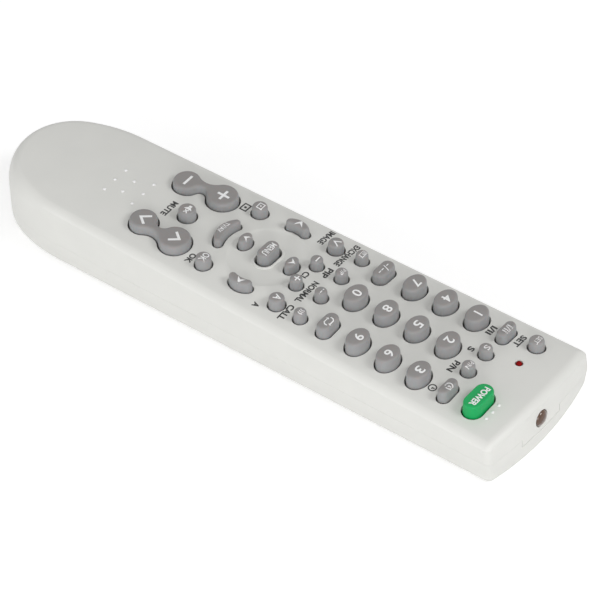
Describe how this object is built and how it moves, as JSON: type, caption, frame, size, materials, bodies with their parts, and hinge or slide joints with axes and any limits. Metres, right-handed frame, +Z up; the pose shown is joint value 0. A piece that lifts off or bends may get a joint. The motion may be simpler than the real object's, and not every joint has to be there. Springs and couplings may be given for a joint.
{
  "type": "remote control",
  "caption": "Hand-held infrared remote control: wedge-shaped pale case with a rounded tail, grey rubber keys, two rocker keys and a sliding battery cover.",
  "frame": {"origin": "centre of the bounding box in plan, on the underside", "axes": "+X to the right of the keypad, +Y along the length to the infrared end, +Z up out of the underside"},
  "size_m": [0.0504, 0.1888, 0.0238],
  "materials": {
    "case_pale": "fine satin texture",
    "key_grey": "matte silicone",
    "key_green": "matte silicone",
    "silicone": "matte",
    "board": "bare laminate",
    "emitter": "tinted clear",
    "lamp": "tinted clear",
    "chip_black": "moulded",
    "resonator_tan": "dipped",
    "capacitor_blue": "sleeve",
    "cell_jacket": "printed jacket",
    "contact_steel": "plated"
  },
  "bodies": {
    "case": {"top_shell": "case_pale", "bottom_shell": "case_pale", "keypad_sheet": "silicone", "circuit_board": "board", "ir_led": "emitter", "indicator_led": "lamp", "control_chip": "chip_black", "ceramic_resonator": "resonator_tan", "storage_capacitor": "capacitor_blue", "driver_transistor": "chip_black", "resistors": "resonator_tan", "cell_left": "cell_jacket", "cell_right": "cell_jacket", "spring_tail": "contact_steel", "spring_front": "contact_steel", "tail_bridge": "contact_steel", "front_plate_plus": "contact_steel", "front_plate_minus": "contact_steel", "case_screws": "contact_steel"},
    "battery_cover": {"battery_cover": "case_pale"},
    "key_power": {"key_power": "key_green"},
    "key_set": {"key_set": "key_grey"},
    "key_sound": {"key_sound": "key_grey"},
    "key_system": {"key_system": "key_grey"},
    "key_norm": {"key_norm": "key_grey"},
    "key_timer": {"key_timer": "key_grey"},
    "key_1": {"key_1": "key_grey"},
    "key_2": {"key_2": "key_grey"},
    "key_3": {"key_3": "key_grey"},
    "key_4": {"key_4": "key_grey"},
    "key_5": {"key_5": "key_grey"},
    "key_6": {"key_6": "key_grey"},
    "key_7": {"key_7": "key_grey"},
    "key_8": {"key_8": "key_grey"},
    "key_9": {"key_9": "key_grey"},
    "key_entry": {"key_entry": "key_grey"},
    "key_0": {"key_0": "key_grey"},
    "key_recall": {"key_recall": "key_grey"},
    "key_swap": {"key_swap": "key_grey"},
    "key_pip": {"key_pip": "key_grey"},
    "key_normal": {"key_normal": "key_grey"},
    "key_call": {"key_call": "key_grey"},
    "key_image": {"key_image": "key_grey"},
    "key_minus": {"key_minus": "key_grey"},
    "key_plus": {"key_plus": "key_grey"},
    "key_auto": {"key_auto": "key_grey"},
    "key_up": {"key_up": "key_grey"},
    "key_down": {"key_down": "key_grey"},
    "key_left": {"key_left": "key_grey"},
    "key_right": {"key_right": "key_grey"},
    "key_menu": {"key_menu": "key_grey"},
    "key_source": {"key_source": "key_grey"},
    "key_ok": {"key_ok": "key_grey"},
    "key_screen": {"key_screen": "key_grey"},
    "key_mute": {"key_mute": "key_grey"},
    "volume_rocker": {"volume_rocker": "key_grey"},
    "channel_rocker": {"channel_rocker": "key_grey"}
  },
  "joints": [
    {"name": "battery_cover_slide", "type": "slide", "parent": "case", "child": "battery_cover", "axis": [0, -1, 0], "range_m": [0, 0.066]},
    {"name": "key_power_press", "type": "slide", "parent": "case", "child": "key_power", "axis": [0, -0.0373, -0.9993], "range_m": [0, 0.001], "stiffness_N_per_m": 600, "springref_m": -0.0005},
    {"name": "key_set_press", "type": "slide", "parent": "case", "child": "key_set", "axis": [0, -0.0373, -0.9993], "range_m": [0, 0.001], "stiffness_N_per_m": 600, "springref_m": -0.0005},
    {"name": "key_sound_press", "type": "slide", "parent": "case", "child": "key_sound", "axis": [0, -0.0373, -0.9993], "range_m": [0, 0.001], "stiffness_N_per_m": 600, "springref_m": -0.0005},
    {"name": "key_system_press", "type": "slide", "parent": "case", "child": "key_system", "axis": [0, -0.0373, -0.9993], "range_m": [0, 0.001], "stiffness_N_per_m": 600, "springref_m": -0.0005},
    {"name": "key_norm_press", "type": "slide", "parent": "case", "child": "key_norm", "axis": [0, -0.0373, -0.9993], "range_m": [0, 0.001], "stiffness_N_per_m": 600, "springref_m": -0.0005},
    {"name": "key_timer_press", "type": "slide", "parent": "case", "child": "key_timer", "axis": [0, -0.0373, -0.9993], "range_m": [0, 0.001], "stiffness_N_per_m": 600, "springref_m": -0.0005},
    {"name": "key_1_press", "type": "slide", "parent": "case", "child": "key_1", "axis": [0, -0.0373, -0.9993], "range_m": [0, 0.001], "stiffness_N_per_m": 600, "springref_m": -0.0005},
    {"name": "key_2_press", "type": "slide", "parent": "case", "child": "key_2", "axis": [0, -0.0373, -0.9993], "range_m": [0, 0.001], "stiffness_N_per_m": 600, "springref_m": -0.0005},
    {"name": "key_3_press", "type": "slide", "parent": "case", "child": "key_3", "axis": [0, -0.0373, -0.9993], "range_m": [0, 0.001], "stiffness_N_per_m": 600, "springref_m": -0.0005},
    {"name": "key_4_press", "type": "slide", "parent": "case", "child": "key_4", "axis": [0, -0.0373, -0.9993], "range_m": [0, 0.001], "stiffness_N_per_m": 600, "springref_m": -0.0005},
    {"name": "key_5_press", "type": "slide", "parent": "case", "child": "key_5", "axis": [0, -0.0373, -0.9993], "range_m": [0, 0.001], "stiffness_N_per_m": 600, "springref_m": -0.0005},
    {"name": "key_6_press", "type": "slide", "parent": "case", "child": "key_6", "axis": [0, -0.0373, -0.9993], "range_m": [0, 0.001], "stiffness_N_per_m": 600, "springref_m": -0.0005},
    {"name": "key_7_press", "type": "slide", "parent": "case", "child": "key_7", "axis": [0, -0.0373, -0.9993], "range_m": [0, 0.001], "stiffness_N_per_m": 600, "springref_m": -0.0005},
    {"name": "key_8_press", "type": "slide", "parent": "case", "child": "key_8", "axis": [0, -0.0373, -0.9993], "range_m": [0, 0.001], "stiffness_N_per_m": 600, "springref_m": -0.0005},
    {"name": "key_9_press", "type": "slide", "parent": "case", "child": "key_9", "axis": [0, -0.0373, -0.9993], "range_m": [0, 0.001], "stiffness_N_per_m": 600, "springref_m": -0.0005},
    {"name": "key_entry_press", "type": "slide", "parent": "case", "child": "key_entry", "axis": [0, -0.0373, -0.9993], "range_m": [0, 0.001], "stiffness_N_per_m": 600, "springref_m": -0.0005},
    {"name": "key_0_press", "type": "slide", "parent": "case", "child": "key_0", "axis": [0, -0.0373, -0.9993], "range_m": [0, 0.001], "stiffness_N_per_m": 600, "springref_m": -0.0005},
    {"name": "key_recall_press", "type": "slide", "parent": "case", "child": "key_recall", "axis": [0, -0.0373, -0.9993], "range_m": [0, 0.001], "stiffness_N_per_m": 600, "springref_m": -0.0005},
    {"name": "key_swap_press", "type": "slide", "parent": "case", "child": "key_swap", "axis": [0, -0.0373, -0.9993], "range_m": [0, 0.001], "stiffness_N_per_m": 600, "springref_m": -0.0005},
    {"name": "key_pip_press", "type": "slide", "parent": "case", "child": "key_pip", "axis": [0, -0.0373, -0.9993], "range_m": [0, 0.001], "stiffness_N_per_m": 600, "springref_m": -0.0005},
    {"name": "key_normal_press", "type": "slide", "parent": "case", "child": "key_normal", "axis": [0, -0.0373, -0.9993], "range_m": [0, 0.001], "stiffness_N_per_m": 600, "springref_m": -0.0005},
    {"name": "key_call_press", "type": "slide", "parent": "case", "child": "key_call", "axis": [0, -0.0373, -0.9993], "range_m": [0, 0.001], "stiffness_N_per_m": 600, "springref_m": -0.0005},
    {"name": "key_image_press", "type": "slide", "parent": "case", "child": "key_image", "axis": [0, -0.0373, -0.9993], "range_m": [0, 0.001], "stiffness_N_per_m": 600, "springref_m": -0.0005},
    {"name": "key_minus_press", "type": "slide", "parent": "case", "child": "key_minus", "axis": [0, -0.0373, -0.9993], "range_m": [0, 0.001], "stiffness_N_per_m": 600, "springref_m": -0.0005},
    {"name": "key_plus_press", "type": "slide", "parent": "case", "child": "key_plus", "axis": [0, -0.0373, -0.9993], "range_m": [0, 0.001], "stiffness_N_per_m": 600, "springref_m": -0.0005},
    {"name": "key_auto_press", "type": "slide", "parent": "case", "child": "key_auto", "axis": [0, -0.0373, -0.9993], "range_m": [0, 0.001], "stiffness_N_per_m": 600, "springref_m": -0.0005},
    {"name": "key_up_press", "type": "slide", "parent": "case", "child": "key_up", "axis": [0, -0.0373, -0.9993], "range_m": [0, 0.001], "stiffness_N_per_m": 600, "springref_m": -0.0005},
    {"name": "key_down_press", "type": "slide", "parent": "case", "child": "key_down", "axis": [0, -0.0373, -0.9993], "range_m": [0, 0.001], "stiffness_N_per_m": 600, "springref_m": -0.0005},
    {"name": "key_left_press", "type": "slide", "parent": "case", "child": "key_left", "axis": [0, -0.0373, -0.9993], "range_m": [0, 0.001], "stiffness_N_per_m": 600, "springref_m": -0.0005},
    {"name": "key_right_press", "type": "slide", "parent": "case", "child": "key_right", "axis": [0, -0.0373, -0.9993], "range_m": [0, 0.001], "stiffness_N_per_m": 600, "springref_m": -0.0005},
    {"name": "key_menu_press", "type": "slide", "parent": "case", "child": "key_menu", "axis": [0, -0.0373, -0.9993], "range_m": [0, 0.001], "stiffness_N_per_m": 600, "springref_m": -0.0005},
    {"name": "key_source_press", "type": "slide", "parent": "case", "child": "key_source", "axis": [0, -0.0373, -0.9993], "range_m": [0, 0.001], "stiffness_N_per_m": 600, "springref_m": -0.0005},
    {"name": "key_ok_press", "type": "slide", "parent": "case", "child": "key_ok", "axis": [0, -0.0373, -0.9993], "range_m": [0, 0.001], "stiffness_N_per_m": 600, "springref_m": -0.0005},
    {"name": "key_screen_press", "type": "slide", "parent": "case", "child": "key_screen", "axis": [0, -0.0373, -0.9993], "range_m": [0, 0.001], "stiffness_N_per_m": 600, "springref_m": -0.0005},
    {"name": "key_mute_press", "type": "slide", "parent": "case", "child": "key_mute", "axis": [0, -0.0373, -0.9993], "range_m": [0, 0.001], "stiffness_N_per_m": 600, "springref_m": -0.0005},
    {"name": "volume_rocker_tilt", "type": "hinge", "parent": "case", "child": "volume_rocker", "pos_m": [-0.01085, -0.03504, 0.01866], "axis": [1, 0, 0], "range_deg": [-5, 5], "stiffness_Nm_per_rad": 0.06},
    {"name": "channel_rocker_tilt", "type": "hinge", "parent": "case", "child": "channel_rocker", "pos_m": [0.01085, -0.03504, 0.01866], "axis": [1, 0, 0], "range_deg": [-5, 5], "stiffness_Nm_per_rad": 0.06}
  ]
}
